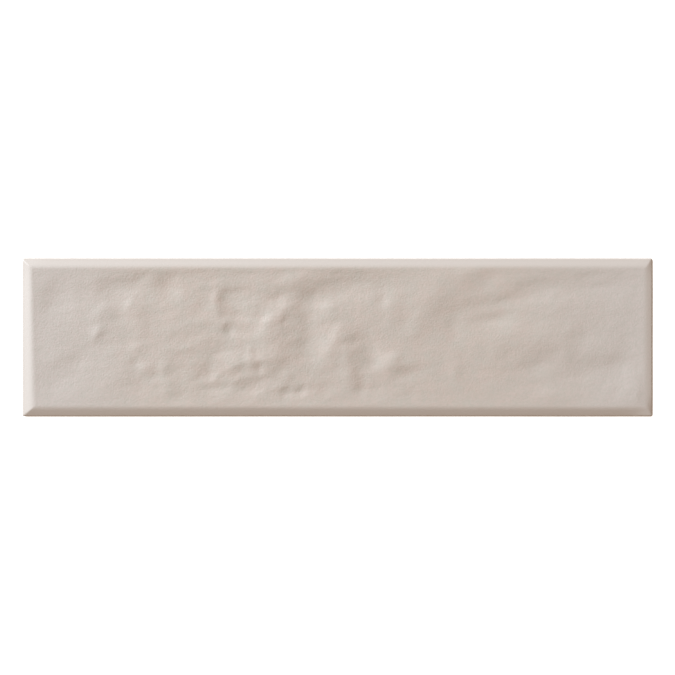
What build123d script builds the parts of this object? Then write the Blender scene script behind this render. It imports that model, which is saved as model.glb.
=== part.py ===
"""Pressed ceramic wall tile, 75 x 298 mm: cushion edges, a softly hammered face and a waffle back.

The tile lies face up. The origin is the middle of the back, +X runs along the tile and +Z out of
the glazed face. Lengths are in millimetres, angles in degrees.
"""

import math
import os
from collections import namedtuple

from build123d import *

# Outline and section
LENGTH = 298.0
WIDTH = 75.0
CORNER_RADIUS = 0.8  # upright corners of the outline
EDGE_HEIGHT = 6.7  # upright side, from the back to the foot of the cushion edge
FACE_HEIGHT = 8.5  # mean level of the face
CUSHION_WIDTH = 4.5  # sloped band around the face, seen from above
SHOULDER_RADIUS = 6.5  # rounding where the sloped band turns into the face
ARRIS = 0.4  # broken edge around the back

# Waffle back: square recesses that key into the adhesive, between ribs that lie on one plane
KEY_BORDER = 4.0  # plain border around the recesses
KEY_RIB = 2.0  # rib between two recesses
KEY_PITCH = 18.0  # nominal spacing of the recesses
KEY_DEPTH = 0.8
KEY_CORNER = 1.5  # cut across each corner of a recess
KEY_DRAFT = 20.0  # lean of the recess walls, so that the press lets go

# Hand-worked face: each swell is a long soft mound, or a hollow where its rise is negative
RELIEF_RISE = 0.55  # height of a full swell
RELIEF_SPAN = 5.0  # half-breadth of a unit swell
RELIEF_FADE = 8.0  # distance over which the relief grows from the plain rim of the face
FACE_POINT_SPACING = 3.5  # spacing of the points that carry the face's surface
FACE_OVERHANG = 6.0  # how far that surface runs past the outline before it is trimmed

# x and y are shares of the half length and half width, along and across are in relief spans,
# turn is the direction of the long axis and rise is a share of the relief rise.
Swell = namedtuple("Swell", "x y along across turn rise")
SWELLS = [
    # hollows under the upper left edge
    Swell(-0.89, 0.48, 1.4, 1.0, 66, -0.90),
    Swell(-0.67, 0.66, 1.6, 0.8, 4, -0.80),
    Swell(-0.54, 0.65, 0.9, 0.8, 32, -0.75),
    Swell(-0.55, 0.60, 3.2, 1.1, 8, -0.50),
    # quiet swells of the left end
    Swell(-0.88, -0.53, 1.4, 0.9, 10, -0.45),
    Swell(-0.73, -0.55, 1.8, 1.2, 45, 0.40),
    Swell(-0.75, 0.20, 1.3, 0.6, 70, 0.50),
    Swell(-0.65, 0.39, 0.8, 0.7, 58, 0.65),
    Swell(-0.62, 0.09, 0.9, 0.7, 100, 0.30),
    # thumb hollow, and the pit under it
    Swell(-0.33, 0.46, 1.1, 0.9, 60, -0.95),
    Swell(-0.335, 0.14, 0.8, 0.6, 0, -0.60),
    # shelf, with the valleys around it
    Swell(-0.30, -0.33, 1.5, 0.6, 14, 0.80),
    Swell(-0.23, -0.32, 1.6, 1.0, 10, 0.60),
    Swell(-0.32, -0.63, 2.2, 0.5, 8, -0.75),
    Swell(-0.415, -0.45, 1.0, 0.6, 80, -0.45),
    # slanting ridge on its broad foot, and the rim above it
    Swell(-0.20, 0.25, 1.7, 0.65, 50, 0.95),
    Swell(-0.205, -0.02, 1.7, 1.05, 80, 0.85),
    Swell(-0.18, 0.50, 1.1, 0.5, 6, -0.50),
    Swell(-0.135, 0.70, 1.4, 0.6, 8, 0.55),
    Swell(-0.135, -0.69, 1.2, 0.55, 0, -0.70),
    # deep hollow above the middle, its long valley and the upright one below
    Swell(-0.08, 0.51, 0.9, 0.8, 32, -1.10),
    Swell(-0.03, 0.51, 2.4, 0.95, 25, -0.45),
    Swell(0.05, 0.655, 2.2, 0.85, 4, -0.95),
    Swell(-0.093, 0.00, 1.6, 0.65, 87, -0.85),
    # upright ridge in the middle
    Swell(-0.01, -0.08, 1.4, 0.65, 67, 1.00),
    Swell(0.034, -0.20, 1.4, 0.8, 85, 0.90),
    Swell(0.034, -0.50, 0.8, 0.5, 90, 0.45),
    Swell(-0.02, 0.33, 0.8, 0.6, 52, 0.45),
    # knob right of the middle, between its valleys
    Swell(0.107, -0.21, 1.2, 0.6, 106, -0.85),
    Swell(0.165, -0.30, 0.8, 0.6, 60, 0.90),
    Swell(0.21, -0.36, 1.6, 0.8, 10, 0.35),
    Swell(0.095, -0.66, 1.0, 0.6, 20, -0.60),
    # broad slanting ridge of the right half, and the valleys behind it
    Swell(0.29, 0.48, 2.2, 1.15, 47, 0.90),
    Swell(0.365, 0.16, 1.0, 0.6, 95, -0.55),
    Swell(0.46, 0.33, 2.0, 0.7, 12, -0.75),
    Swell(0.61, 0.57, 2.0, 0.6, 14, -0.70),
    Swell(0.80, 0.64, 2.4, 0.6, 0, -0.80),
    # broad swells and dabs of the right end
    Swell(0.61, 0.00, 2.4, 0.9, 8, 0.80),
    Swell(0.65, -0.10, 2.0, 0.9, 28, 0.50),
    Swell(0.68, 0.33, 1.6, 1.1, 8, 0.40),
    Swell(0.63, -0.35, 1.3, 0.6, 18, -0.65),
    Swell(0.83, -0.40, 2.0, 0.75, 6, -0.90),
    Swell(0.83, -0.53, 2.8, 1.0, 0, -0.55),
    Swell(0.945, -0.68, 1.1, 0.9, 80, 0.50),
]


def swell_height(swell, x, y):
    """Height of one swell above the mean face at a point."""
    turn = math.radians(swell.turn)
    from_x = x - swell.x * LENGTH / 2
    from_y = y - swell.y * WIDTH / 2
    along = (from_x * math.cos(turn) + from_y * math.sin(turn)) / (swell.along * RELIEF_SPAN)
    across = (from_y * math.cos(turn) - from_x * math.sin(turn)) / (swell.across * RELIEF_SPAN)
    return swell.rise * RELIEF_RISE * math.exp(-(along**2 + across**2) / 2)


def fade(place, size):
    """Share of the relief at a place across a size: none on the plain rim, all in the middle."""
    inside = size / 2 - CUSHION_WIDTH - shoulder_reach - abs(place)
    share = min(max(inside / RELIEF_FADE, 0.0), 1.0)
    return share * share * (3 - 2 * share)


def face_height(x, y):
    """Level of the hand-worked face at a point."""
    relief = sum(swell_height(swell, x, y) for swell in SWELLS)
    return FACE_HEIGHT + relief * fade(x, LENGTH) * fade(y, WIDTH)


def spread(size):
    """Even stations across a size, running past both ends by the overhang."""
    reach = size / 2 + FACE_OVERHANG
    steps = math.ceil(2 * reach / FACE_POINT_SPACING)
    return [-reach + 2 * reach * step / steps for step in range(steps + 1)]


# The sloped band climbs from the side to the mean face over its width, and the shoulder takes
# the same reach from the band and from the face
cushion_rise = FACE_HEIGHT - EDGE_HEIGHT
cushion_slope = math.atan2(cushion_rise, CUSHION_WIDTH)
cushion_taper = 90 - math.degrees(cushion_slope)
shoulder_reach = SHOULDER_RADIUS * math.tan(cushion_slope / 2)
blank_rise = cushion_rise + 2 * RELIEF_RISE

# Surface of the face, larger than the tile, that trims the pressed blank
face_points = [[(x, y, face_height(x, y)) for y in spread(WIDTH)] for x in spread(LENGTH)]
worked_face = Face.make_surface_from_array_of_points(face_points, tol=0.01, min_deg=3, max_deg=3)

# Recesses fill the back inside its border, as many as come nearest to the nominal pitch
key_columns = round((LENGTH - 2 * KEY_BORDER) / KEY_PITCH)
key_rows = round((WIDTH - 2 * KEY_BORDER) / KEY_PITCH)
key_pitch_x = (LENGTH - 2 * KEY_BORDER + KEY_RIB) / key_columns
key_pitch_y = (WIDTH - 2 * KEY_BORDER + KEY_RIB) / key_rows

with BuildPart() as tile:
    # Pressed blank: upright sides, then the sloped band, taller than the highest swell
    with BuildSketch():
        Rectangle(LENGTH, WIDTH)
    extrude(amount=EDGE_HEIGHT)
    extrude(tile.faces().sort_by(Axis.Z)[-1], amount=blank_rise, taper=cushion_taper)
    fillet(tile.edges().filter_by(Axis.Z), radius=CORNER_RADIUS)

    # Hand-worked face, with its rim rounded into the sloped band
    split(bisect_by=worked_face, keep=Keep.BOTTOM)
    crown = tile.faces().filter_by(GeomType.BSPLINE).sort_by(SortBy.AREA)[-1]
    fillet(crown.outer_wire().edges(), radius=SHOULDER_RADIUS)

    # Broken edge and waffle recesses of the back
    chamfer(tile.faces().sort_by(Axis.Z)[0].outer_wire().edges(), length=ARRIS)
    with BuildSketch() as keys:
        with GridLocations(key_pitch_x, key_pitch_y, key_columns, key_rows):
            Rectangle(key_pitch_x - KEY_RIB, key_pitch_y - KEY_RIB)
        chamfer(keys.vertices(), length=KEY_CORNER)
    extrude(amount=KEY_DEPTH, taper=KEY_DRAFT, mode=Mode.SUBTRACT)

tile.part.label = "tile"
os.makedirs("parts", exist_ok=True)
export_step(tile.part, "parts/tile.step")
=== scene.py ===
"""Glazed wall tile: a hand-worked matt face with cushion edges over a buff fired body with a waffle back.

The tile lies face up on the floor. +X runs along it, +Z out of the glaze, and the origin is the
middle of its back. Blender's lengths are metres. The stroke list and the values that say so are
in millimetres.
"""

import math
from collections import namedtuple

import bmesh
import bpy
import numpy as np
from bpy.props import FloatProperty, FloatVectorProperty, IntProperty, PointerProperty
from bpy.types import Operator, Panel, PropertyGroup
from mathutils import Matrix, Vector, noise


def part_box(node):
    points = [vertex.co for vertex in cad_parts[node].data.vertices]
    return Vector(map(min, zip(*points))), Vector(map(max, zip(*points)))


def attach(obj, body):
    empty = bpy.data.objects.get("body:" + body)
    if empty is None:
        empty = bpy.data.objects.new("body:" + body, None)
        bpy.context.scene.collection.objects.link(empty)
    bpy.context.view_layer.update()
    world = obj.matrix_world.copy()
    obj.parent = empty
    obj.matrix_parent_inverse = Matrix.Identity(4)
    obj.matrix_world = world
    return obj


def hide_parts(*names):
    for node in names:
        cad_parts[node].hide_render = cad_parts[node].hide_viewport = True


bl_info = {
    "name": "Glazed wall tile",
    "version": (1, 0, 0),
    "blender": (4, 5, 0),
    "location": "View3D > Sidebar > Wall tile",
    "description": "Builds a cushion-edged wall tile with a hand-worked matt face, and a white studio",
    "category": "Object",
}

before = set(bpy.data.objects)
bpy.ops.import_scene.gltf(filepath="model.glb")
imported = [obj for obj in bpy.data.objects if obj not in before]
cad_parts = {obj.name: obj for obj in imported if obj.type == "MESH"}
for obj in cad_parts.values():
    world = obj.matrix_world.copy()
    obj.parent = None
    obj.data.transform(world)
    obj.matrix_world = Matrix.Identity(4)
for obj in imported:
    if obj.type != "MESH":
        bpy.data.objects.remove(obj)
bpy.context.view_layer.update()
TILE_LOW, TILE_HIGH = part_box("tile")

MM = 0.001
HALF_LENGTH = (TILE_HIGH.x - TILE_LOW.x) / 2
HALF_WIDTH = (TILE_HIGH.y - TILE_LOW.y) / 2

# Order of the sides in the edge sizes
LEFT, RIGHT, UPPER, LOWER = range(4)

# Point attributes of the mesh, 0 where they don't apply
THIN_GLAZE = "thin_glaze"  # 1 along the arris, where the glaze runs thin
PAINTED_SHEEN_SHARE = "painted_sheen_share"  # 1 on the sloped edge, where the glaze is smoother and its colour is made paler as painted sheen

# Photograph: side of the square frame, and where the tile's outline lies in it
PHOTO_SIDE = 675
PHOTO_TILE_LEFT = 22.2
PHOTO_TILE_RIGHT = 652.8
PHOTO_TILE_MIDDLE_Y = 337.3

# Corners of the sloped edge
CORNER_REACH = 7.0 * MM  # distance from a corner along which two sides come to one level
HIP_SHARPNESS = 16  # power that joins two sides: the higher, the crisper the hip between them

# Hand-worked face
PLAIN_RIM = 3.0 * MM  # rim inside the outline without relief
RELIEF_GROWTH = 5.0 * MM  # distance over which the relief grows from the plain rim
DISH_ACROSS = 2  # power of the dish across the tile
DISH_ALONG = 8  # power of the dish along the tile, which keeps it level to near the ends
WORKED_X = -45.0 * MM  # most worked place along the tile
WORKED_REACH = 50.0 * MM  # how far its liveliness spreads

# Sway of the strokes: feature size, and a seed for each direction
SWAY_SIZE = 6.0 * MM
SWAY_SEED_X = 3.7
SWAY_SEED_Y = 8.2

# Irregular ripple between the strokes: feature size, share of the height, and seed
Ripple = namedtuple("Ripple", "size share seed")
SLOW_RIPPLE = Ripple(9.0 * MM, 0.40, 2.3)
DRAWN_RIPPLE = Ripple(3.6 * MM, 0.65, 6.1)
QUICK_RIPPLE = Ripple(2.2 * MM, 0.32, 9.4)
RIPPLE_STRETCH = 2.8  # how much longer than broad the drawn ripple is
RIPPLE_CLIMB = 0.14  # how steeply the drawn ripple runs across the face
QUIET_RIPPLE = 0.58  # strength far from the most worked place
LIVELY_RIPPLE = 0.67  # strength that the most worked place adds

# Wander of the outline: reach inwards, and length of the waves and seeds along ends and flanks
STRAY_REACH = 9.0 * MM
END_WAVE = 38.0 * MM
END_SEED = 7.3
END_LAYER = 1.7
FLANK_WAVE = 75.0 * MM
FLANK_SEED = 5.1
FLANK_LAYER = 4.2

# Mesh of the tile
RIM_PULL = 0.25  # how far the grid of the face crowds towards its rim
KEY_CORNER_STEPS = 3  # facets of a recess's rounded corner
ARRIS_STEPS = 4  # facets of the rounded arris
SHARP_TURN = math.radians(32)  # edges that turn by more stay crisp

# Patterns of the glaze and the body
SOFT_PATCHES = (0.3, 0.7)  # levels of a noise between which a soft patch grows
CRISP_PATCHES = (0.35, 0.65)  # levels of a noise between which a crisp patch grows
ENDS_BEGIN = 90.0 * MM  # distance from the middle where the tint of the ends sets in
ENDS_FULL = 165.0 * MM  # distance from the middle where it is complete
ENDS_PATCH = 30.0 * MM  # feature size of its uneven border
ENDS_RAGGED = 40.0 * MM  # breadth of its uneven border
LINE_PATCH = 5.0 * MM  # feature size of the line where the glaze ends
LINE_RAGGED = 1.2 * MM  # height over which that line goes up and down
LINE_BLUR = 0.3 * MM  # height over which the glaze thins out at the line
GRAIN_REACH = 150.0 * MM  # distance from the most worked place over which the grain calms down

# A stroke is a long soft ridge pressed up by a finger, or a furrow where its rise is negative.
# x and y place its crest from the middle of the face, along is its half length, near and far are
# its half breadths on the left of its direction and on the right, turn is the direction in
# degrees, and rise is its height. All lengths here are in millimetres.
Stroke = namedtuple("Stroke", "x y along near far turn rise")
STROKES = [
    # hollows under the upper left edge
    Stroke(-132.5, 18.0, 6.5, 4.2, 6.5, 66, -0.60),
    Stroke(-119.0, 21.0, 3.0, 3.0, 3.0, 0, -0.18),
    Stroke(-106.0, 22.8, 5.0, 3.2, 4.8, 0, -0.58),
    Stroke(-95.5, 26.0, 4.5, 2.2, 4.6, 6, -0.62),
    Stroke(-80.5, 24.8, 3.2, 2.8, 4.4, 32, -0.62),
    # slow swells of the left end
    Stroke(-131.0, -20.0, 7.0, 4.5, 4.5, 10, -0.28),
    Stroke(-122.0, -10.0, 4.5, 2.8, 3.0, 55, -0.20),
    Stroke(-133.0, -8.0, 3.0, 3.0, 3.0, 0, 0.18),
    Stroke(-105.0, -17.0, 7.0, 4.5, 4.5, 80, 0.20),
    Stroke(-105.0, -3.0, 6.0, 2.2, 2.2, 8, -0.18),
    # pimples, dabs and pits of the left half
    Stroke(-113.3, 1.8, 2.0, 1.6, 1.9, 55, 0.46),
    Stroke(-112.5, 7.0, 3.0, 2.0, 2.5, 80, 0.12),
    Stroke(-110.5, 12.3, 4.0, 2.2, 3.8, 36, 0.34),
    Stroke(-103.0, 8.8, 2.2, 1.8, 2.2, 15, -0.16),
    Stroke(-97.3, 14.8, 3.4, 2.5, 3.8, 58, 0.40),
    Stroke(-93.5, 6.0, 6.0, 2.8, 3.2, 96, 0.26),
    Stroke(-95.5, -5.8, 2.4, 1.6, 2.6, 40, 0.22),
    Stroke(-95.5, -12.0, 1.8, 1.6, 1.8, 30, -0.24),
    Stroke(-93.5, -22.0, 3.5, 2.6, 3.0, 30, -0.26),
    Stroke(-90.6, -15.0, 1.8, 1.6, 1.5, 40, 0.30),
    Stroke(-86.0, -18.0, 1.8, 1.6, 1.8, 20, -0.14),
    Stroke(-81.5, -14.0, 3.0, 2.1, 2.2, 72, 0.32),
    Stroke(-80.0, -23.0, 2.6, 1.9, 2.2, 65, 0.24),
    Stroke(-75.5, -19.5, 2.5, 2.0, 2.0, 10, -0.18),
    Stroke(-74.5, -28.0, 3.0, 1.6, 1.8, 15, -0.20),
    Stroke(-77.5, 2.8, 6.0, 2.2, 2.2, 6, 0.26),
    Stroke(-73.0, -4.5, 8.0, 2.2, 2.0, 10, 0.30),
    Stroke(-75.5, 18.5, 4.0, 3.0, 4.0, 20, 0.08),
    # thumb hollow with its upright rim, and the pit under it
    Stroke(-63.5, 15.5, 4.5, 2.2, 3.0, 40, -0.20),
    Stroke(-57.4, 17.6, 3.8, 1.4, 1.5, 88, 0.40),
    Stroke(-58.0, 24.0, 8.0, 2.0, 2.0, 5, 0.14),
    Stroke(-51.5, 16.4, 4.8, 2.0, 5.0, 88, -0.34),
    Stroke(-48.0, 20.2, 4.6, 1.6, 3.6, 4, -0.50),
    Stroke(-47.0, 10.5, 3.5, 2.0, 2.0, 0, -0.42),
    Stroke(-54.3, 6.5, 2.4, 1.4, 1.3, 20, 0.26),
    Stroke(-64.0, 7.0, 5.0, 1.8, 1.8, 0, 0.16),
    Stroke(-51.2, 3.0, 2.0, 1.6, 2.2, 45, -0.40),
    Stroke(-46.0, 3.3, 3.0, 1.4, 1.8, 0, -0.24),
    Stroke(-43.5, -1.2, 5.0, 1.7, 2.4, 6, 0.20),
    # shelf, with the valleys around it
    Stroke(-55.5, -6.5, 3.5, 2.0, 2.0, 10, -0.22),
    Stroke(-60.8, -15.5, 4.0, 1.6, 1.6, 78, -0.28),
    Stroke(-64.0, -18.3, 3.2, 2.2, 2.2, 50, -0.22),
    Stroke(-57.5, -24.0, 4.5, 1.6, 1.9, 14, -0.45),
    Stroke(-48.5, -12.8, 4.2, 2.7, 2.0, 20, 0.52),
    Stroke(-40.5, -11.6, 2.2, 2.6, 2.0, 5, 0.46),
    Stroke(-39.0, -7.5, 3.0, 0.9, 0.9, 88, -0.14),
    Stroke(-40.5, -6.5, 2.0, 1.6, 1.5, 90, 0.20),
    Stroke(-35.2, -9.3, 2.6, 1.6, 1.8, 75, 0.22),
    Stroke(-29.5, -9.0, 2.6, 1.8, 2.2, 75, 0.20),
    Stroke(-37.2, -15.0, 1.7, 1.2, 1.4, 70, -0.36),
    Stroke(-28.5, -18.0, 3.6, 1.8, 2.6, 20, -0.16),
    Stroke(-46.5, -17.0, 2.2, 1.0, 1.2, 10, -0.18),
    Stroke(-47.5, -20.6, 2.0, 1.1, 1.1, 10, 0.24),
    Stroke(-41.0, -23.3, 5.0, 1.6, 2.0, 10, -0.55),
    # slanting ridge on its broad foot
    Stroke(-32.0, 7.0, 5.5, 2.3, 4.3, 55, 0.60),
    Stroke(-25.0, 13.5, 4.0, 2.0, 3.6, 42, 0.42),
    Stroke(-35.0, 1.0, 5.0, 4.0, 5.0, 55, 0.22),
    Stroke(-30.0, -3.0, 7.5, 5.0, 6.0, 85, 0.40),
    Stroke(-24.5, 8.1, 1.3, 1.2, 1.4, 35, -0.20),
    Stroke(-26.5, 18.6, 5.5, 1.8, 2.0, 6, -0.42),
    Stroke(-20.0, 26.3, 7.0, 2.2, 2.4, 8, 0.32),
    # pits and bumps along the lower edge
    Stroke(-23.8, -26.0, 2.4, 1.7, 1.9, 45, -0.40),
    Stroke(-17.0, -25.8, 2.0, 1.7, 1.8, 42, -0.42),
    Stroke(-27.0, -22.8, 1.5, 1.3, 1.5, 60, 0.16),
    Stroke(-24.0, -18.3, 1.7, 1.3, 1.5, 60, 0.24),
    Stroke(-5.5, -24.5, 2.5, 1.6, 2.0, 50, -0.18),
    # deep hollow above the middle, its long valley to the right and the upright one below
    Stroke(-12.0, 19.0, 3.8, 3.3, 4.0, 32, -0.78),
    Stroke(-3.0, 23.0, 5.0, 3.6, 4.5, 30, -0.28),
    Stroke(6.0, 24.5, 10.0, 3.8, 5.5, 4, -0.50),
    Stroke(20.0, 24.0, 5.0, 2.4, 3.6, 0, -0.26),
    Stroke(21.5, 18.0, 2.4, 2.2, 2.2, 88, -0.24),
    Stroke(-14.0, 8.0, 3.5, 2.2, 2.6, 90, -0.28),
    Stroke(-13.8, -2.0, 6.5, 3.0, 3.6, 86, -0.52),
    # upright ridge in the middle
    Stroke(0.3, 1.5, 3.4, 2.5, 3.0, 64, 0.56),
    Stroke(-3.0, -6.5, 4.6, 2.6, 4.2, 68, 0.58),
    Stroke(5.0, -8.0, 6.0, 3.0, 3.4, 90, 0.42),
    Stroke(5.0, -19.0, 3.5, 2.2, 2.2, 90, 0.30),
    Stroke(-3.0, 12.5, 3.0, 2.2, 2.6, 52, 0.32),
    Stroke(5.5, -2.1, 2.8, 1.4, 1.8, 8, -0.32),
    Stroke(10.5, -1.2, 2.6, 1.8, 2.6, 22, -0.28),
    # knob right of the middle, between its valleys
    Stroke(16.0, -8.0, 6.0, 3.2, 2.4, 106, -0.54),
    Stroke(26.0, -11.5, 3.4, 2.4, 2.5, 60, 0.62),
    Stroke(31.0, -13.0, 4.0, 2.0, 1.5, 12, 0.26),
    Stroke(19.0, -17.0, 3.0, 1.6, 1.4, 25, 0.20),
    Stroke(34.0, -17.3, 5.0, 1.5, 1.8, 14, -0.22),
    Stroke(17.0, -25.2, 4.0, 2.2, 2.2, 6, -0.34),
    Stroke(11.0, -23.5, 3.4, 1.7, 2.0, 84, -0.30),
    Stroke(34.5, -27.0, 2.0, 1.5, 1.5, 0, -0.18),
    # broad slanting ridge of the right half and the valley behind it
    Stroke(38.0, 4.0, 5.0, 3.0, 3.0, 60, 0.22),
    Stroke(43.0, 18.0, 10.0, 6.0, 4.8, 50, 0.44),
    Stroke(25.8, 14.5, 4.2, 2.2, 3.6, 84, 0.28),
    Stroke(31.0, 6.8, 2.5, 1.6, 1.6, 20, -0.14),
    Stroke(54.5, 6.0, 5.0, 2.8, 3.0, 95, -0.32),
    Stroke(64.0, 14.2, 6.5, 1.9, 2.8, 10, -0.32),
    Stroke(74.0, 9.0, 6.5, 1.5, 2.4, 6, -0.40),
    Stroke(55.0, -14.5, 4.5, 1.8, 2.0, 92, 0.22),
    Stroke(60.5, 29.5, 4.5, 4.0, 2.8, 38, 0.30),
    # long valley towards the upper right and the broad swells below it
    Stroke(78.0, 17.0, 6.0, 2.2, 3.2, 14, -0.38),
    Stroke(89.0, 21.2, 4.5, 2.6, 3.2, 18, -0.30),
    Stroke(99.0, 23.0, 7.0, 3.4, 3.6, 6, -0.42),
    Stroke(121.0, 24.0, 11.0, 3.6, 3.8, 0, -0.46),
    Stroke(90.0, 0.0, 12.0, 4.4, 4.2, 5, 0.40),
    Stroke(83.5, 2.0, 4.5, 3.6, 5.0, 35, 0.24),
    Stroke(73.5, -1.0, 4.0, 2.6, 4.0, 55, 0.16),
    Stroke(66.0, -2.0, 4.0, 2.6, 3.6, 70, 0.14),
    Stroke(74.5, -7.5, 4.0, 2.6, 2.6, 50, 0.20),
    Stroke(101.0, 12.5, 8.0, 4.0, 7.0, 8, 0.24),
    Stroke(71.0, 27.0, 4.0, 2.2, 2.6, 25, -0.24),
    # dabs of the right end
    Stroke(117.0, 1.0, 3.0, 2.2, 2.2, 30, -0.12),
    Stroke(119.5, -6.8, 4.0, 2.4, 2.6, 35, 0.14),
    Stroke(110.5, 4.8, 2.2, 1.7, 1.9, 40, 0.16),
    Stroke(107.8, -4.0, 3.2, 3.6, 3.0, 55, 0.28),
    Stroke(93.5, -13.0, 6.5, 2.4, 3.6, 18, -0.40),
    Stroke(94.0, -22.8, 6.0, 2.4, 2.4, 5, -0.16),
    Stroke(101.0, -28.0, 6.0, 2.6, 3.0, 5, 0.20),
    Stroke(132.5, -13.0, 5.0, 3.0, 3.6, 14, -0.50),
    Stroke(117.0, -15.0, 7.0, 3.4, 3.6, 5, -0.40),
    Stroke(142.0, -25.5, 6.0, 5.0, 4.0, 80, 0.30),
    Stroke(138.0, -24.8, 3.0, 2.6, 3.0, 60, 0.16),
    Stroke(137.0, -1.5, 5.0, 3.0, 3.0, 90, -0.16),
    # broad swells that carry the rest
    Stroke(-82.0, 22.5, 16.0, 5.0, 6.0, 8, -0.34),
    Stroke(-55.0, 26.0, 9.0, 4.0, 4.0, 8, -0.18),
    Stroke(-115.0, -24.0, 10.0, 5.0, 5.0, 10, 0.16),
    Stroke(-60.0, -18.0, 5.0, 3.5, 3.5, 90, -0.16),
    Stroke(-34.0, -12.0, 8.0, 5.0, 5.0, 10, 0.38),
    Stroke(-28.0, 3.0, 10.0, 5.0, 5.0, 85, 0.20),
    Stroke(-18.0, -26.5, 5.0, 3.0, 3.0, 0, -0.16),
    Stroke(-4.0, 19.0, 12.0, 4.5, 5.0, 25, -0.28),
    Stroke(8.0, 25.0, 7.0, 4.0, 5.0, 10, -0.16),
    Stroke(5.0, -6.0, 7.0, 4.5, 4.5, 75, 0.28),
    Stroke(32.0, -14.0, 10.0, 5.0, 4.5, 8, 0.14),
    Stroke(48.0, 20.0, 12.0, 7.0, 6.0, 35, 0.20),
    Stroke(68.0, 7.0, 10.0, 4.0, 4.0, 15, -0.14),
    Stroke(95.0, -4.0, 10.0, 4.5, 4.5, 28, 0.30),
    Stroke(124.0, -20.0, 14.0, 5.0, 5.0, 0, -0.34),
]


class WallTileShape(PropertyGroup):
    """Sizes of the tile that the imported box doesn't give."""

    face_height: FloatProperty(
        name="Face height", description="Mean level of the face over the back",
        default=8.5 * MM, unit="LENGTH")
    edge_slopes: FloatVectorProperty(
        name="Edge slopes", description="Slope of the edge band: left, right, upper, lower",
        size=4, default=[math.radians(slope) for slope in (27.4, 11.7, 20.2, 24.8)], unit="ROTATION")
    edge_bands: FloatVectorProperty(
        name="Edge bands", description="Straight part of the edge: left, right, upper, lower",
        size=4, default=[band * MM for band in (2.2, 0.6, 2.6, 2.4)], unit="LENGTH")
    edge_shoulders: FloatVectorProperty(
        name="Edge shoulders", description="Soft turn into the face: left, right, upper, lower",
        size=4, default=[turn * MM for turn in (4.2, 4.4, 3.0, 3.4)], unit="LENGTH")
    left_taper: FloatProperty(
        name="Left taper", description="Share by which the left edge is narrower above and broader below",
        default=0.15)
    upper_twist: FloatProperty(
        name="Upper twist",
        description="Share by which the upper edge is deeper at its left end and shallower at its right",
        default=0.26)
    arris_radius: FloatProperty(
        name="Arris radius", description="Rounding between the sloped edge and the upright side",
        default=1.1 * MM, unit="LENGTH")
    corner_radius: FloatProperty(
        name="Corner radius", description="Rounding of the outline's corners",
        default=0.8 * MM, unit="LENGTH")
    back_arris: FloatProperty(
        name="Back arris", description="Broken edge around the back",
        default=0.4 * MM, unit="LENGTH")
    wander: FloatProperty(
        name="Outline wander", description="How far the outline strays inwards along the sides",
        default=0.1 * MM, unit="LENGTH")
    relief: FloatProperty(
        name="Relief", description="Strength of the hand-worked relief", default=0.94, min=0.0)
    softening: FloatProperty(
        name="Softening", description="How far the glaze spreads each stroke",
        default=1.0 * MM, unit="LENGTH")
    sway: FloatProperty(
        name="Sway", description="How far the strokes stray from their smooth shape",
        default=1.0 * MM, unit="LENGTH")
    ripple: FloatProperty(
        name="Ripple", description="Height of the irregular ripple between the strokes",
        default=0.12 * MM, unit="LENGTH")
    dish: FloatProperty(
        name="Dish", description="How far the middle of the face lies below its rim",
        default=0.2 * MM, unit="LENGTH")
    columns: IntProperty(name="Columns", description="Cells of the face along the tile", default=560)
    rows: IntProperty(name="Rows", description="Cells of the face across the tile", default=140)
    key_border: FloatProperty(
        name="Back border", description="Plain border around the recesses of the back",
        default=4.0 * MM, unit="LENGTH")
    key_rib: FloatProperty(
        name="Back rib", description="Rib between two recesses", default=2.0 * MM, unit="LENGTH")
    key_pitch: FloatProperty(
        name="Back pitch", description="Nominal spacing of the recesses",
        default=18.0 * MM, unit="LENGTH")
    key_depth: FloatProperty(
        name="Recess depth", description="Depth of the recesses", default=0.8 * MM, unit="LENGTH")
    key_corner: FloatProperty(
        name="Recess corner", description="Rounding of each corner of a recess",
        default=1.5 * MM, unit="LENGTH")
    key_draft: FloatProperty(
        name="Recess draft", description="Lean of the recess walls",
        default=math.radians(20), unit="ROTATION")


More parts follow.
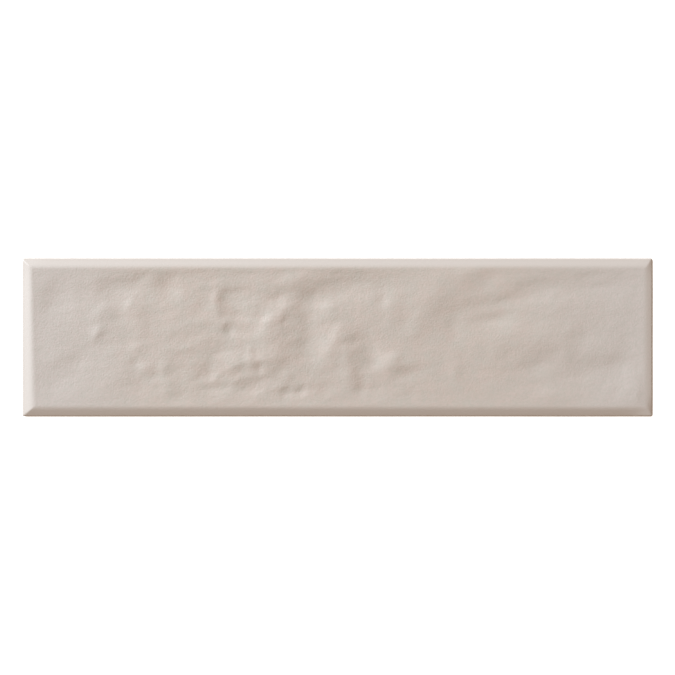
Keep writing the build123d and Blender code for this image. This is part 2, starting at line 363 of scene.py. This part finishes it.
class WallTileGlaze(PropertyGroup):
    """Colours and surface of the glaze and the fired body."""

    warm: FloatVectorProperty(
        name="Warm glaze", description="Pinkish part of the glaze",
        size=3, default=(0.651, 0.5315, 0.4775), subtype="COLOR", min=0.0, max=1.0)
    olive: FloatVectorProperty(
        name="Grey glaze", description="Greenish grey part of the glaze",
        size=3, default=(0.625, 0.5345, 0.4825), subtype="COLOR", min=0.0, max=1.0)
    cool: FloatVectorProperty(
        name="End glaze", description="Lilac grey tint towards both ends",
        size=3, default=(0.646, 0.5555, 0.5185), subtype="COLOR", min=0.0, max=1.0)
    # Painted sheen: the sloped edge is coloured paler and bluer than the face
    painted_sheen_edge: FloatVectorProperty(
        name="Edge glaze", description="Paler glaze on the sloped edge",
        size=3, default=(0.650, 0.567, 0.520), subtype="COLOR", min=0.0, max=1.0)
    thin: FloatVectorProperty(
        name="Thin glaze", description="Body showing through the glaze along the arris",
        size=3, default=(0.42, 0.30, 0.21), subtype="COLOR", min=0.0, max=1.0)
    body: FloatVectorProperty(
        name="Fired body", description="Buff body on the lower sides and the back",
        size=3, default=(0.60, 0.46, 0.33), subtype="COLOR", min=0.0, max=1.0)
    fleck: FloatVectorProperty(
        name="Flecks", description="Tint of the fine flecks, which the glaze is multiplied by",
        size=3, default=(0.925, 0.965, 0.945), subtype="COLOR", min=0.0, max=1.0)
    speck: FloatVectorProperty(
        name="Body specks", description="Tint of the specks, which the body is multiplied by",
        size=3, default=(0.85, 0.82, 0.78), subtype="COLOR", min=0.0, max=1.0)
    cloud_size: FloatProperty(
        name="Cloud size", description="Feature size of the pinkish and greenish clouds",
        default=7.0 * MM, unit="LENGTH")
    fleck_size: FloatProperty(
        name="Fleck size", description="Feature size of the flecks",
        default=1.1 * MM, unit="LENGTH")
    speck_size: FloatProperty(
        name="Speck size", description="Feature size of the body's specks",
        default=0.9 * MM, unit="LENGTH")
    thin_share: FloatProperty(
        name="Thin share", description="How much of the body shows through along the arris",
        default=0.06, min=0.0, max=1.0, subtype="FACTOR")
    roughness: FloatProperty(
        name="Glaze roughness", description="Roughness of the matt glaze",
        default=0.5, min=0.0, max=1.0, subtype="FACTOR")
    body_roughness: FloatProperty(
        name="Body roughness", description="Roughness of the fired body",
        default=0.88, min=0.0, max=1.0, subtype="FACTOR")
    grain: FloatProperty(
        name="Grain", description="Height of the fine grain in the glaze",
        default=0.155 * MM, unit="LENGTH")
    grain_size: FloatProperty(
        name="Grain size", description="Feature size of the grain", default=0.85 * MM, unit="LENGTH")
    quiet_grain: FloatProperty(
        name="Quiet grain", description="Share of the grain far from the most worked place",
        default=0.62, min=0.0, max=1.0, subtype="FACTOR")
    edge_grain: FloatProperty(
        name="Edge grain", description="Share of the grain on the sloped edge",
        default=0.3, min=0.0, max=1.0, subtype="FACTOR")
    glaze_line: FloatProperty(
        name="Glaze line", description="Height on the sides where the glaze ends",
        default=3.0 * MM, unit="LENGTH")


class WallTileStudio(PropertyGroup):
    """Floor, lights and camera."""

    key_power: FloatProperty(
        name="Key light", description="Power of the soft light from the upper left",
        default=247.0, unit="POWER")
    key_colour: FloatVectorProperty(
        name="Key colour", description="Cool tint of the soft light",
        size=3, default=(0.76, 0.90, 1.0), subtype="COLOR", min=0.0, max=1.0)
    key_from_above: FloatProperty(
        name="Key tilt", description="Angle of the key light from the vertical",
        default=math.radians(62), unit="ROTATION")
    key_direction: FloatProperty(
        name="Key direction", description="Turn of the key light from the left towards the top",
        default=math.radians(37), unit="ROTATION")
    key_distance: FloatProperty(
        name="Key distance", description="Distance of the key light", default=4.0, unit="LENGTH")
    key_size: FloatProperty(
        name="Key size", description="Side of the square key light", default=1.6, unit="LENGTH")
    fill: FloatProperty(
        name="Fill", description="Even light from all around", default=0.395, min=0.0)
    fill_colour: FloatVectorProperty(
        name="Fill colour", description="Warm tint of the even light",
        size=3, default=(1.0, 0.80, 0.615), subtype="COLOR", min=0.0, max=1.0)
    floor_glow: FloatProperty(
        name="Floor glow", description="Light of the white floor itself", default=0.9, min=0.0)
    floor_radius: FloatProperty(
        name="Floor radius", description="Radius of the round floor", default=6.0, unit="LENGTH")
    lens: FloatProperty(
        name="Lens", description="Focal length in millimetres", default=200.0, min=1.0)


def smooth_step(share):
    """Soft climb from 0 to 1 as the share goes from 0 to 1."""
    share = np.clip(share, 0.0, 1.0)
    return share * share * (3 - 2 * share)


def edge_drop(gap, side, shape):
    """How far the face has dropped at a gap from the outline: straight band, then shoulder."""
    band = shape.edge_bands[side]
    shoulder = shape.edge_shoulders[side]
    share = np.clip((gap - band) / shoulder, 0.0, 1.0)
    turning = shoulder * (0.5 - share + share**3 - share**4 / 2)
    return math.tan(shape.edge_slopes[side]) * (np.maximum(band - gap, 0.0) + turning)


def edge_share(gap, side, shape):
    """Share of the sloped edge at a gap from the outline: all on the band, none past the shoulder."""
    return 1 - smooth_step((gap - shape.edge_bands[side]) / shape.edge_shoulders[side])


def edge_gaps(x, y, shape):
    """Distances from the near end and the near flank, scaled on the left so that its edge tapers."""
    taper = np.where(x < 0, 1 + shape.left_taper * y / HALF_WIDTH, 1.0)
    return (HALF_LENGTH - np.abs(x)) * taper, HALF_WIDTH - np.abs(y)


def meet(gap, along, side, neighbour, shape):
    """Drop of a side, led near a corner to the level that it shares there with the next side."""
    own = edge_drop(0.0, side, shape)
    shared = (own + edge_drop(0.0, neighbour, shape)) / 2
    nearness = np.exp(-((along / CORNER_REACH) ** 2))
    return edge_drop(gap, side, shape) * (1 + (shared / own - 1) * nearness)


def sloped_edges(x, y, shape):
    """How far the sloped edges have dropped at each place, with a hip at each corner."""
    gap_x, gap_y = edge_gaps(x, y, shape)
    drop_x = np.zeros_like(x)
    drop_y = np.zeros_like(y)
    for end in (LEFT, RIGHT):
        for flank in (UPPER, LOWER):
            corner = ((x < 0) == (end == LEFT)) & ((y > 0) == (flank == UPPER))
            drop_x[corner] = meet(gap_x[corner], gap_y[corner], end, flank, shape)
            drop_y[corner] = meet(gap_y[corner], gap_x[corner], flank, end, shape)
    drop_y *= np.where(y > 0, 1 - shape.upper_twist * x / HALF_LENGTH, 1.0)
    return (drop_x**HIP_SHARPNESS + drop_y**HIP_SHARPNESS) ** (1 / HIP_SHARPNESS)


def outline_height(shape):
    """Mean level over the back at which the four sides reach the outline."""
    drops = [edge_drop(0.0, side, shape) for side in (LEFT, RIGHT, UPPER, LOWER)]
    return shape.face_height - sum(drops) / len(drops) - shape.arris_radius / 2


def stroke_height(stroke, x, y, softening):
    """Height of one stroke over the mean face at places, all in millimetres."""
    turn = math.radians(stroke.turn)
    from_x = x - stroke.x
    from_y = y - stroke.y
    along = from_x * math.cos(turn) + from_y * math.sin(turn)
    across = from_y * math.cos(turn) - from_x * math.sin(turn)
    near = math.hypot(stroke.near, softening)
    far = math.hypot(stroke.far, softening)
    reach = math.hypot(stroke.along, softening)
    rise = stroke.rise * (stroke.near + stroke.far) / (near + far)
    breadth = np.where(across > 0, near, far)
    return rise * np.exp(-((along / reach) ** 2 + (across / breadth) ** 2) / 2)


def noise_at(places, size, seed):
    """Smooth noise of a feature size, between -1 and 1, at each place."""
    shift = Vector((0, 0, seed))
    return np.array([noise.noise(place / size + shift) for place in places])


def one_ripple(places, ripple):
    """One of the ripples at each place, at its share of the height."""
    return ripple.share * noise_at(places, ripple.size, ripple.seed)


def ripple_height(places):
    """Irregular ripple at each place, partly drawn out, and strongest at the most worked place."""
    drawn = [
        Vector((place.x / RIPPLE_STRETCH, place.y - RIPPLE_CLIMB * place.x, 0)) for place in places]
    slow = one_ripple(places, SLOW_RIPPLE)
    middle = one_ripple(drawn, DRAWN_RIPPLE)
    quick = one_ripple(places, QUICK_RIPPLE)
    x = np.array([place.x for place in places])
    lively = QUIET_RIPPLE + LIVELY_RIPPLE * np.exp(-(((x - WORKED_X) / WORKED_REACH) ** 2))
    return lively * (slow + middle + quick)


def face_heights(places, shape):
    """Level of the glazed face at each place of the grid."""
    x = np.array([place.x for place in places])
    y = np.array([place.y for place in places])
    strayed_x = (x + shape.sway * noise_at(places, SWAY_SIZE, SWAY_SEED_X)) / MM
    strayed_y = (y + shape.sway * noise_at(places, SWAY_SIZE, SWAY_SEED_Y)) / MM
    softening = shape.softening / MM
    relief = sum(stroke_height(stroke, strayed_x, strayed_y, softening) for stroke in STROKES)
    relief *= MM * shape.relief
    relief += shape.ripple * ripple_height(places)
    relief -= shape.dish * (1 - (y / HALF_WIDTH) ** DISH_ACROSS) * (1 - (x / HALF_LENGTH) ** DISH_ALONG)
    rim_gap = np.minimum(*edge_gaps(x, y, shape))
    worked = smooth_step((rim_gap - PLAIN_RIM) / RELIEF_GROWTH)
    return shape.face_height - sloped_edges(x, y, shape) + relief * worked


def crowd(share):
    """Moves an even station between -1 and 1 towards the rim, where the section turns."""
    return (1 + RIM_PULL) * share - RIM_PULL * share**3


def round_corner(place, half_x, half_y, radius):
    """Draws a place in the corner square of the outline onto the rounded corner."""
    over_x = abs(place.x) - (half_x - radius)
    over_y = abs(place.y) - (half_y - radius)
    if over_x <= 0 or over_y <= 0:
        return
    pull = max(over_x, over_y) / math.hypot(over_x, over_y)
    place.x = math.copysign(half_x - radius + over_x * pull, place.x)
    place.y = math.copysign(half_y - radius + over_y * pull, place.y)


def outward(place, half_x, half_y, radius):
    """Direction out of the rounded outline at a place on it."""
    inner_x = min(max(place.x, radius - half_x), half_x - radius)
    inner_y = min(max(place.y, radius - half_y), half_y - radius)
    return Vector((place.x - inner_x, place.y - inner_y, 0)).normalized()


def edges_at(verts):
    """Edges at some points, each once, in the order of the points."""
    return list(dict.fromkeys(edge for vert in verts for edge in vert.link_edges))


def extrude_ring(work, edges, shape_ring):
    """Extrudes a closed ring of edges, places the new points and returns the new ring."""
    made = bmesh.ops.extrude_edge_only(work, edges=edges)["geom"]
    verts = [item for item in made if isinstance(item, bmesh.types.BMVert)]
    for vert in verts:
        shape_ring(vert)
    ring = set(verts)
    return [
        item for item in made if isinstance(item, bmesh.types.BMEdge) and ring.issuperset(item.verts)]


def add_keys(work, shape):
    """Adds the beds and leaning walls of the back's recesses, and returns the edges of their mouths."""
    columns = round((2 * HALF_LENGTH - 2 * shape.key_border) / shape.key_pitch)
    rows = round((2 * HALF_WIDTH - 2 * shape.key_border) / shape.key_pitch)
    pitch_x = (2 * HALF_LENGTH - 2 * shape.key_border + shape.key_rib) / columns
    pitch_y = (2 * HALF_WIDTH - 2 * shape.key_border + shape.key_rib) / rows
    lean = shape.key_depth * math.tan(shape.key_draft)
    side_x = pitch_x - shape.key_rib - 2 * lean
    side_y = pitch_y - shape.key_rib - 2 * lean
    mouths = []
    for column in range(columns):
        for row in range(rows):
            middle = Vector((
                (column - (columns - 1) / 2) * pitch_x, (row - (rows - 1) / 2) * pitch_y, 0))
            place = Matrix.Translation(middle + Vector((0, 0, shape.key_depth)))
            stretch = Matrix.Diagonal((side_x / 2, side_y / 2, 1, 1))
            bed = bmesh.ops.create_grid(work, x_segments=1, y_segments=1, size=1, matrix=place @ stretch)
            cut = bmesh.ops.bevel(
                work, geom=bed["verts"], offset=shape.key_corner, affect="VERTICES",
                segments=KEY_CORNER_STEPS, profile=0.5, material=-1)
            rim = edges_at(cut["verts"])

            def open_mouth(vert):
                reach = vert.co - middle
                vert.co.x = middle.x + reach.x * (side_x / 2 + lean) / (side_x / 2)
                vert.co.y = middle.y + reach.y * (side_y / 2 + lean) / (side_y / 2)
                vert.co.z = 0

            mouths += extrude_ring(work, rim, open_mouth)
    return mouths


def add_face(work, shape, inset):
    """Adds the glazed face, a displaced grid inside the rounded arris, and returns its outer edges."""
    half_x = HALF_LENGTH - inset
    half_y = HALF_WIDTH - inset
    made = bmesh.ops.create_grid(work, x_segments=shape.columns, y_segments=shape.rows, size=1)
    verts = made["verts"]
    for vert in verts:
        vert.co = (half_x * crowd(vert.co.x), half_y * crowd(vert.co.y), 0)
    heights = face_heights([vert.co for vert in verts], shape)
    thin = work.verts.layers.float[THIN_GLAZE]
    painted_sheen_edge = work.verts.layers.float[PAINTED_SHEEN_SHARE]
    for vert, height in zip(verts, heights):
        gap_x, gap_y = edge_gaps(vert.co.x, vert.co.y, shape)
        vert[thin] = 1 - smooth_step((min(gap_x, gap_y) - inset) / shape.arris_radius)
        # Share of the sloped edge, which gets painted sheen in its colour and a smoother grain
        vert[painted_sheen_edge] = max(
            edge_share(gap_x, LEFT if vert.co.x < 0 else RIGHT, shape),
            edge_share(gap_y, UPPER if vert.co.y > 0 else LOWER, shape))
        vert.co.z = height
        round_corner(vert.co, half_x, half_y, shape.corner_radius - inset)
    return [edge for edge in edges_at(verts) if edge.is_boundary]


def add_sides(work, shape, edges, inset, lean):
    """Adds the rounded arris, upright side and broken back edge, and returns the ring of the back."""
    thin = work.verts.layers.float[THIN_GLAZE]
    painted_sheen_edge = work.verts.layers.float[PAINTED_SHEEN_SHARE]
    radius = shape.arris_radius
    corner = shape.corner_radius - inset
    half_x = HALF_LENGTH - inset
    half_y = HALF_WIDTH - inset
    glaze_fade = 2 * radius  # height of side along which the edge's glaze gives way to the plain one
    for step in range(ARRIS_STEPS):
        begin = lean + (math.pi / 2 - lean) * step / ARRIS_STEPS
        end = lean + (math.pi / 2 - lean) * (step + 1) / ARRIS_STEPS
        out = radius * (math.sin(end) - math.sin(begin))
        down = radius * (math.cos(begin) - math.cos(end))

        def turn_over(vert):
            vert[thin] = 1
            vert[painted_sheen_edge] = 1
            vert.co += outward(vert.co, half_x, half_y, corner) * out
            vert.co.z -= down

        edges = extrude_ring(work, edges, turn_over)
        corner += out
        half_x += out
        half_y += out

    def end_arris(vert):
        vert[thin] = 0
        vert[painted_sheen_edge] = 0
        vert.co.z -= glaze_fade

    def drop_to_back(vert):
        vert.co.z = shape.back_arris

    def break_edge(vert):
        vert.co -= outward(vert.co, HALF_LENGTH, HALF_WIDTH, shape.corner_radius) * shape.back_arris
        vert.co.z = 0

    edges = extrude_ring(work, edges, end_arris)
    edges = extrude_ring(work, edges, drop_to_back)
    return extrude_ring(work, edges, break_edge)


def sway_share(x, y, z):
    """Smooth noise between 0 and 1 at a place in the noise."""
    return 0.5 + 0.5 * noise.noise(Vector((x, y, z)))


def stray(work, shape):
    """Lets the outline wander inwards a little along the four sides, as fired tiles do."""
    for vert in work.verts:
        near_x = smooth_step(1 - (HALF_LENGTH - abs(vert.co.x)) / STRAY_REACH)
        near_y = smooth_step(1 - (HALF_WIDTH - abs(vert.co.y)) / STRAY_REACH)
        side_x = math.copysign(1, vert.co.x)
        side_y = math.copysign(1, vert.co.y)
        sway_x = sway_share(side_x * END_SEED, vert.co.y / END_WAVE, END_LAYER)
        sway_y = sway_share(vert.co.x / FLANK_WAVE, side_y * FLANK_SEED, FLANK_LAYER)
        vert.co.x -= side_x * shape.wander * sway_x * near_x
        vert.co.y -= side_y * shape.wander * sway_y * near_y


def tile_mesh(shape):
    """Closed mesh of the whole tile: face, arris, sides and waffle back."""
    lean = sum(shape.edge_slopes) / len(shape.edge_slopes)
    inset = shape.arris_radius * (1 - math.sin(lean))
    work = bmesh.new()
    work.verts.layers.float.new(THIN_GLAZE)
    work.verts.layers.float.new(PAINTED_SHEEN_SHARE)
    mouths = add_keys(work, shape)
    edges = add_face(work, shape, inset)
    back_ring = add_sides(work, shape, edges, inset, lean)
    bmesh.ops.triangle_fill(work, use_beauty=True, edges=back_ring + mouths, normal=(0, 0, -1))
    stray(work, shape)
    bmesh.ops.recalc_face_normals(work, faces=work.faces)
    for face in work.faces:
        face.smooth = True
    mesh = bpy.data.meshes.new("glazed_tile")
    work.to_mesh(mesh)
    work.free()
    mesh.set_sharp_from_angle(angle=SHARP_TURN)
    return mesh


def add_node(tree, kind, inputs=None, **settings):
    """New node with its settings, its input sockets linked or set."""
    node = tree.nodes.new(kind)
    for name, value in settings.items():
        setattr(node, name, value)
    for name, value in (inputs or {}).items():
        if isinstance(value, bpy.types.NodeSocket):
            tree.links.new(value, node.inputs[name])
        else:
            node.inputs[name].default_value = value
    return node


def add_noise(tree, place, size, detail, roughness=0.5):
    """Noise of a feature size in metres."""
    inputs = {"Vector": place, "Scale": 1 / size, "Detail": detail, "Roughness": roughness}
    return add_node(tree, "ShaderNodeTexNoise", inputs).outputs[0]


def add_range(tree, value, low, high, to_low=0.0, to_high=1.0):
    """Smooth change from one value to another between two levels of an input."""
    inputs = {"Value": value, "From Min": low, "From Max": high, "To Min": to_low, "To Max": to_high}
    return add_node(tree, "ShaderNodeMapRange", inputs, interpolation_type="SMOOTHSTEP").outputs[0]


def add_math(tree, operation, first, second):
    """Sum, product or the like of two values."""
    return add_node(tree, "ShaderNodeMath", {0: first, 1: second}, operation=operation).outputs[0]


def add_mix(tree, share, first, second, blend="MIX"):
    """Mix of two colours."""
    factor_socket, first_socket, second_socket, result_socket = 0, 6, 7, 2
    inputs = {factor_socket: share, first_socket: first, second_socket: second}
    node = add_node(tree, "ShaderNodeMix", inputs, data_type="RGBA", blend_type=blend)
    return node.outputs[result_socket]


def solid(colour):
    """Colour property as a socket's colour with full alpha."""
    return (*colour, 1.0)


def add_attribute(tree, name):
    """Value of one of the mesh's point attributes."""
    return add_node(tree, "ShaderNodeAttribute", attribute_name=name).outputs["Fac"]


def face_colour(tree, glaze, place, x):
    """Colour of the face's glaze: slow pinkish and greenish clouds, lilac ends and fine flecks."""
    clouds = add_noise(tree, place, glaze.cloud_size, detail=3, roughness=0.7)
    cloud = add_range(tree, clouds, *SOFT_PATCHES)
    colour = add_mix(tree, cloud, solid(glaze.warm), solid(glaze.olive))
    along = add_math(tree, "ABSOLUTE", x, 0.0)
    ragged = add_math(tree, "MULTIPLY", add_noise(tree, place, ENDS_PATCH, detail=2), ENDS_RAGGED)
    ends = add_range(tree, add_math(tree, "ADD", along, ragged), ENDS_BEGIN, ENDS_FULL)
    colour = add_mix(tree, ends, colour, solid(glaze.cool))
    flecks = add_noise(tree, place, glaze.fleck_size, detail=2, roughness=0.6)
    fleck = add_range(tree, flecks, *SOFT_PATCHES)
    return add_mix(tree, fleck, colour, solid(glaze.fleck), "MULTIPLY")


def glaze_cover(tree, glaze, place, z):
    """Share of glaze on the sides: 1 above the uneven line where it ends, 0 below."""
    ragged = add_math(tree, "MULTIPLY", add_noise(tree, place, LINE_PATCH, detail=2), LINE_RAGGED)
    middle = glaze.glaze_line + LINE_RAGGED / 2
    height = add_math(tree, "ADD", z, ragged)
    return add_range(tree, height, middle - LINE_BLUR / 2, middle + LINE_BLUR / 2)


def body_colour(tree, glaze, place):
    """Colour of the fired body, with darker specks."""
    specks = add_noise(tree, place, glaze.speck_size, detail=4, roughness=0.7)
    speck = add_range(tree, specks, *CRISP_PATCHES)
    return add_mix(tree, speck, solid(glaze.body), solid(glaze.speck), "MULTIPLY")


def grain_height(tree, glaze, place, x, painted_sheen_edge):
    """Fine grain, strongest at the most worked place and weak on the sloped edge."""
    away = add_math(tree, "ABSOLUTE", add_math(tree, "SUBTRACT", x, WORKED_X), 0.0)
    liveliness = add_range(tree, away, 0.0, GRAIN_REACH, 1.0, glaze.quiet_grain)
    grain = add_noise(tree, place, glaze.grain_size, detail=2, roughness=0.6)
    grain = add_math(tree, "MULTIPLY", grain, liveliness)
    return add_math(tree, "MULTIPLY", grain, add_range(tree, painted_sheen_edge, 0.0, 1.0, 1.0, glaze.edge_grain))


def glaze_material(glaze):
    """Matt glaze over the face and upper sides, ending on the buff fired body in an uneven line."""
    material = bpy.data.materials.new("matt_glaze")
    material.use_nodes = True
    tree = material.node_tree
    tree.nodes.clear()
    place = add_node(tree, "ShaderNodeTexCoord").outputs["Object"]
    axes = add_node(tree, "ShaderNodeSeparateXYZ", {"Vector": place}).outputs
    painted_sheen_edge = add_attribute(tree, PAINTED_SHEEN_SHARE)
    thin = add_math(tree, "MULTIPLY", add_attribute(tree, THIN_GLAZE), glaze.thin_share)
    glazed = glaze_cover(tree, glaze, place, axes["Z"])

    # Colour: the face's glaze, made paler on the sloped edge as painted sheen, thin along the arris, over
    # the bare body
    colour = face_colour(tree, glaze, place, axes["X"])
    # Painted sheen: the sloped edge is coloured paler and bluer
    colour = add_mix(tree, painted_sheen_edge, colour, solid(glaze.painted_sheen_edge))
    colour = add_mix(tree, thin, colour, solid(glaze.thin))
    colour = add_mix(tree, glazed, body_colour(tree, glaze, place), colour)

    # Surface: fine grain all over, and a body that is rougher than the glaze
    roughness = add_range(tree, glazed, 0.0, 1.0, glaze.body_roughness, glaze.roughness)
    grain = grain_height(tree, glaze, place, axes["X"], painted_sheen_edge)
    bump = add_node(tree, "ShaderNodeBump", {"Strength": 1.0, "Distance": glaze.grain, "Height": grain})
    inputs = {"Base Color": colour, "Roughness": roughness, "Normal": bump.outputs["Normal"]}
    shader = add_node(tree, "ShaderNodeBsdfPrincipled", inputs)
    add_node(tree, "ShaderNodeOutputMaterial", {"Surface": shader.outputs[0]})
    return material


def floor_material(glow):
    """White matt floor that stays white where the tile shades it."""
    material = bpy.data.materials.new("white_floor")
    material.use_nodes = True
    shader = material.node_tree.nodes["Principled BSDF"]
    shader.inputs["Base Color"].default_value = (0.9, 0.9, 0.9, 1.0)
    shader.inputs["Roughness"].default_value = 0.9
    shader.inputs["Specular IOR Level"].default_value = 0.0
    shader.inputs["Emission Color"].default_value = (1.0, 1.0, 1.0, 1.0)
    shader.inputs["Emission Strength"].default_value = glow
    return material


class OBJECT_OT_glazed_tile(Operator):
    """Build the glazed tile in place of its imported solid"""

    bl_idname = "object.glazed_tile"
    bl_label = "Glazed tile"

    def execute(self, context):
        shape = context.scene.wall_tile_shape
        piece = bpy.data.objects.new("glazed_tile", tile_mesh(shape))
        context.scene.collection.objects.link(piece)
        piece.data.materials.append(glaze_material(context.scene.wall_tile_glaze))
        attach(piece, "root")
        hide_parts("tile")
        return {"FINISHED"}


class OBJECT_OT_tile_studio(Operator):
    """Set out the white floor, the soft lights and the camera above the tile"""

    bl_idname = "object.tile_studio"
    bl_label = "Tile studio"

    def execute(self, context):
        scene = context.scene
        studio = scene.wall_tile_studio
        self.add_floor(scene, studio)
        self.add_lights(scene, studio)
        self.add_camera(scene, studio, scene.wall_tile_shape)
        scene.view_settings.view_transform = "Standard"
        return {"FINISHED"}

    def add_floor(self, scene, studio):
        """Round white floor under the tile."""
        work = bmesh.new()
        bmesh.ops.create_circle(work, cap_ends=True, segments=64, radius=studio.floor_radius)
        mesh = bpy.data.meshes.new("floor")
        work.to_mesh(mesh)
        work.free()
        mesh.materials.append(floor_material(studio.floor_glow))
        floor = bpy.data.objects.new("floor", mesh)
        floor.visible_diffuse = False  # its glow would burn out the tile's upright sides
        scene.collection.objects.link(floor)

    def add_lights(self, scene, studio):
        """Soft key light from the upper left, and even light from all around."""
        tilt = studio.key_from_above
        turn = studio.key_direction
        towards = Vector((
            -math.cos(turn) * math.sin(tilt), math.sin(turn) * math.sin(tilt), math.cos(tilt)))
        lamp = bpy.data.lights.new("key_light", "AREA")
        lamp.energy = studio.key_power
        lamp.color = studio.key_colour
        lamp.size = studio.key_size
        light = bpy.data.objects.new("key_light", lamp)
        light.location = towards * studio.key_distance
        light.rotation_euler = towards.to_track_quat("Z", "Y").to_euler()
        scene.collection.objects.link(light)
        world = bpy.data.worlds.new("white_room")
        world.use_nodes = True
        background = world.node_tree.nodes["Background"]
        background.inputs["Color"].default_value = solid(studio.fill_colour)
        background.inputs["Strength"].default_value = studio.fill
        scene.world = world

    def add_camera(self, scene, studio, shape):
        """Camera straight above the tile, framed as the photograph is."""
        pixel = 2 * HALF_LENGTH / (PHOTO_TILE_RIGHT - PHOTO_TILE_LEFT)
        lens = bpy.data.cameras.new("camera")
        lens.lens = studio.lens
        lens.clip_end = 100.0
        distance = PHOTO_SIDE * pixel * studio.lens / lens.sensor_width
        middle_x = (PHOTO_SIDE / 2 - (PHOTO_TILE_LEFT + PHOTO_TILE_RIGHT) / 2) * pixel
        middle_y = (PHOTO_TILE_MIDDLE_Y - PHOTO_SIDE / 2) * pixel
        camera = bpy.data.objects.new("camera", lens)
        camera.location = (middle_x, middle_y, outline_height(shape) + distance)
        scene.collection.objects.link(camera)
        scene.camera = camera


class VIEW3D_PT_wall_tile(Panel):
    """Sizes, glaze and studio of the wall tile"""

    bl_label = "Wall tile"
    bl_space_type = "VIEW_3D"
    bl_region_type = "UI"
    bl_category = "Wall tile"

    def draw(self, context):
        groups = (
            (context.scene.wall_tile_shape, WallTileShape),
            (context.scene.wall_tile_glaze, WallTileGlaze),
            (context.scene.wall_tile_studio, WallTileStudio))
        for group, kind in groups:
            box = self.layout.box()
            for name in kind.__annotations__:
                box.prop(group, name)
        self.layout.operator(OBJECT_OT_glazed_tile.bl_idname)
        self.layout.operator(OBJECT_OT_tile_studio.bl_idname)


CLASSES = (
    WallTileShape, WallTileGlaze, WallTileStudio,
    OBJECT_OT_glazed_tile, OBJECT_OT_tile_studio, VIEW3D_PT_wall_tile)


def register():
    for kind in CLASSES:
        bpy.utils.register_class(kind)
    bpy.types.Scene.wall_tile_shape = PointerProperty(type=WallTileShape)
    bpy.types.Scene.wall_tile_glaze = PointerProperty(type=WallTileGlaze)
    bpy.types.Scene.wall_tile_studio = PointerProperty(type=WallTileStudio)


def unregister():
    del bpy.types.Scene.wall_tile_studio
    del bpy.types.Scene.wall_tile_glaze
    del bpy.types.Scene.wall_tile_shape
    for kind in reversed(CLASSES):
        bpy.utils.unregister_class(kind)


def main():
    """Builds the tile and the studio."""
    register()
    bpy.ops.object.glazed_tile()
    bpy.ops.object.tile_studio()


if __name__ == "__main__":
    main()
